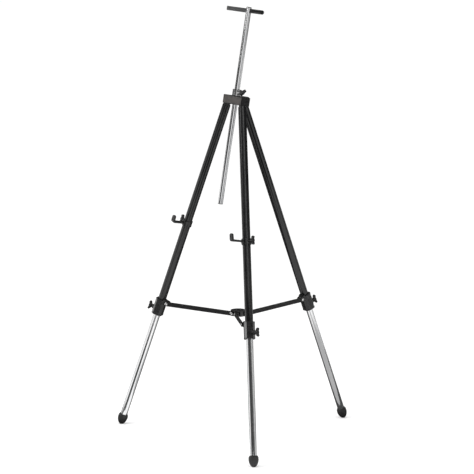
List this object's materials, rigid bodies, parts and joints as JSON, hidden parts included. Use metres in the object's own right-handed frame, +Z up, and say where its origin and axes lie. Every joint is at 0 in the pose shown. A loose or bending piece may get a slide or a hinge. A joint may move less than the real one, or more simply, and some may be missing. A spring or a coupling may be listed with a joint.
{
  "type": "tripod field easel",
  "caption": "Folding tripod field easel: telescopic round legs, sliding mast with a cross bar, clamped canvas hooks, wing knobs and a central hub with flat braces.",
  "frame": {"origin": "centre of the bounding box, on the floor under the feet", "axes": "+Z up; -Y towards the painter, on the side of the canvas hooks; +X to the painter's right"},
  "size_m": [0.729, 0.6464, 1.3468],
  "materials": {
    "gloss_black": "gloss",
    "chrome": "polished",
    "black_plastic": "satin",
    "head_plastic": "satin",
    "steel": "satin",
    "rubber": "matte"
  },
  "bodies": {
    "head": {"head_block": "head_plastic", "mast_collar": "steel", "pivot_pin_front_left": "steel", "pivot_pin_front_right": "steel", "pivot_pin_rear": "steel"},
    "mast": {"mast_tube": "chrome", "mast_top_cap": "black_plastic", "mast_bottom_cap": "black_plastic", "cross_bar": "black_plastic", "cross_bar_screw": "steel"},
    "mast_knob": {"mast_knob": "black_plastic", "mast_screw": "steel"},
    "leg_front_left": {"leg_top_front_left": "black_plastic", "upper_tube_front_left": "gloss_black", "leg_clamp_front_left": "black_plastic"},
    "lower_leg_front_left": {"lower_tube_front_left": "chrome", "guide_bush_front_left": "black_plastic", "foot_front_left": "rubber"},
    "clamp_knob_front_left": {"clamp_knob_front_left": "black_plastic", "clamp_screw_front_left": "steel"},
    "hook_front_left": {"hook_band_front_left": "black_plastic", "canvas_hook_front_left": "black_plastic"},
    "hook_knob_front_left": {"hook_knob_front_left": "black_plastic", "hook_screw_front_left": "steel"},
    "leg_front_right": {"leg_top_front_right": "black_plastic", "upper_tube_front_right": "gloss_black", "leg_clamp_front_right": "black_plastic"},
    "lower_leg_front_right": {"lower_tube_front_right": "chrome", "guide_bush_front_right": "black_plastic", "foot_front_right": "rubber"},
    "clamp_knob_front_right": {"clamp_knob_front_right": "black_plastic", "clamp_screw_front_right": "steel"},
    "hook_front_right": {"hook_band_front_right": "black_plastic", "canvas_hook_front_right": "black_plastic"},
    "hook_knob_front_right": {"hook_knob_front_right": "black_plastic", "hook_screw_front_right": "steel"},
    "leg_rear": {"leg_top_rear": "black_plastic", "upper_tube_rear": "gloss_black", "leg_clamp_rear": "black_plastic"},
    "lower_leg_rear": {"lower_tube_rear": "chrome", "guide_bush_rear": "black_plastic", "foot_rear": "rubber"},
    "clamp_knob_rear": {"clamp_knob_rear": "black_plastic", "clamp_screw_rear": "steel"},
    "hub": {"brace_hub": "black_plastic", "hub_rivet_front_left": "steel", "hub_rivet_front_right": "steel", "hub_rivet_rear": "steel"},
    "brace_front_left": {"brace_front_left": "gloss_black", "brace_rivet_front_left": "steel"},
    "brace_front_right": {"brace_front_right": "gloss_black", "brace_rivet_front_right": "steel"},
    "brace_rear": {"brace_rear": "gloss_black", "brace_rivet_rear": "steel"}
  },
  "joints": [
    {"name": "mast_slide", "type": "slide", "parent": "head", "child": "mast", "axis": [0, 0.1805, 0.9836], "range_m": [-0.23, 0.27]},
    {"name": "mast_knob_turn", "type": "hinge", "parent": "head", "child": "mast_knob", "pos_m": [0, -0.11306, 1.08679], "axis": [1, 0, 0], "range_deg": [0, 270]},
    {"name": "leg_fold_front_left", "type": "hinge", "parent": "head", "child": "leg_front_left", "pos_m": [-0.0362, -0.11978, 1.0564], "axis": [0.515, -0.8572, 0], "range_deg": [0, 16.9]},
    {"name": "leg_slide_front_left", "type": "slide", "parent": "leg_front_left", "child": "lower_leg_front_left", "axis": [-0.2847, -0.1711, -0.9432], "range_m": [-0.35, 0.09]},
    {"name": "clamp_knob_turn_front_left", "type": "hinge", "parent": "leg_front_left", "child": "clamp_knob_front_left", "pos_m": [-0.23935, -0.24185, 0.38341], "axis": [-0.8085, -0.4858, 0.3322], "range_deg": [0, 270]},
    {"name": "hook_slide_front_left", "type": "slide", "parent": "leg_front_left", "child": "hook_front_left", "axis": [0.2847, 0.1711, 0.9432], "range_m": [-0.22, 0.3]},
    {"name": "hook_knob_turn_front_left", "type": "hinge", "parent": "hook_front_left", "child": "hook_knob_front_left", "pos_m": [-0.15464, -0.19095, 0.66402], "axis": [-0.9586, 0.0508, 0.2801], "range_deg": [0, 270]},
    {"name": "leg_fold_front_right", "type": "hinge", "parent": "head", "child": "leg_front_right", "pos_m": [0.0362, -0.11978, 1.0564], "axis": [0.515, 0.8572, 0], "range_deg": [0, 16.92]},
    {"name": "leg_slide_front_right", "type": "slide", "parent": "leg_front_right", "child": "lower_leg_front_right", "axis": [0.2847, -0.1711, -0.9432], "range_m": [-0.35, 0.09]},
    {"name": "clamp_knob_turn_front_right", "type": "hinge", "parent": "leg_front_right", "child": "clamp_knob_front_right", "pos_m": [0.23935, -0.24185, 0.38341], "axis": [0.9359, 0.2626, 0.2349], "range_deg": [0, 270]},
    {"name": "hook_slide_front_right", "type": "slide", "parent": "leg_front_right", "child": "hook_front_right", "axis": [-0.2847, 0.1711, 0.9432], "range_m": [-0.22, 0.3]},
    {"name": "hook_knob_turn_front_right", "type": "hinge", "parent": "hook_front_right", "child": "hook_knob_front_right", "pos_m": [0.1592, -0.19369, 0.64893], "axis": [0.9586, 0.0508, 0.2801], "range_deg": [0, 270]},
    {"name": "leg_fold_rear", "type": "hinge", "parent": "head", "child": "leg_rear", "pos_m": [0, -0.09053, 1.0564], "axis": [-1, 0, 0], "range_deg": [0, 16.4]},
    {"name": "leg_slide_rear", "type": "slide", "parent": "leg_rear", "child": "lower_leg_rear", "axis": [0, 0.3584, -0.9336], "range_m": [-0.35, 0.09]},
    {"name": "clamp_knob_turn_rear", "type": "hinge", "parent": "leg_rear", "child": "clamp_knob_rear", "pos_m": [0, 0.16516, 0.39029], "axis": [0, 0.9336, 0.3584], "range_deg": [0, 270]},
    {"name": "hub_lift", "type": "slide", "parent": "head", "child": "hub", "axis": [0, 0, 1], "range_m": [0, 0.20414]},
    {"name": "brace_swing_front_left", "type": "hinge", "parent": "hub", "child": "brace_front_left", "pos_m": [-0.00968, -0.12637, 0.391], "axis": [0.515, -0.8572, 0], "range_deg": [0, 87.29]},
    {"name": "brace_swing_front_right", "type": "hinge", "parent": "hub", "child": "brace_front_right", "pos_m": [0.00968, -0.12637, 0.391], "axis": [0.515, 0.8572, 0], "range_deg": [0, 87.29]},
    {"name": "brace_swing_rear", "type": "hinge", "parent": "hub", "child": "brace_rear", "pos_m": [0.0193, -0.09153, 0.391], "axis": [-1, 0, 0], "range_deg": [0, 87.01]}
  ],
  "couplings": [
    {"joint": "leg_fold_front_right", "follows": "leg_fold_front_left", "ratio": 1},
    {"joint": "leg_fold_rear", "follows": "leg_fold_front_left", "ratio": 0.96898},
    {"joint": "hub_lift", "follows": "leg_fold_front_left", "m_per_rad": 0.69041},
    {"joint": "brace_swing_front_left", "follows": "leg_fold_front_left", "ratio": 5.1533},
    {"joint": "brace_swing_front_right", "follows": "leg_fold_front_left", "ratio": 5.1533},
    {"joint": "brace_swing_rear", "follows": "leg_fold_front_left", "ratio": 5.1368}
  ]
}
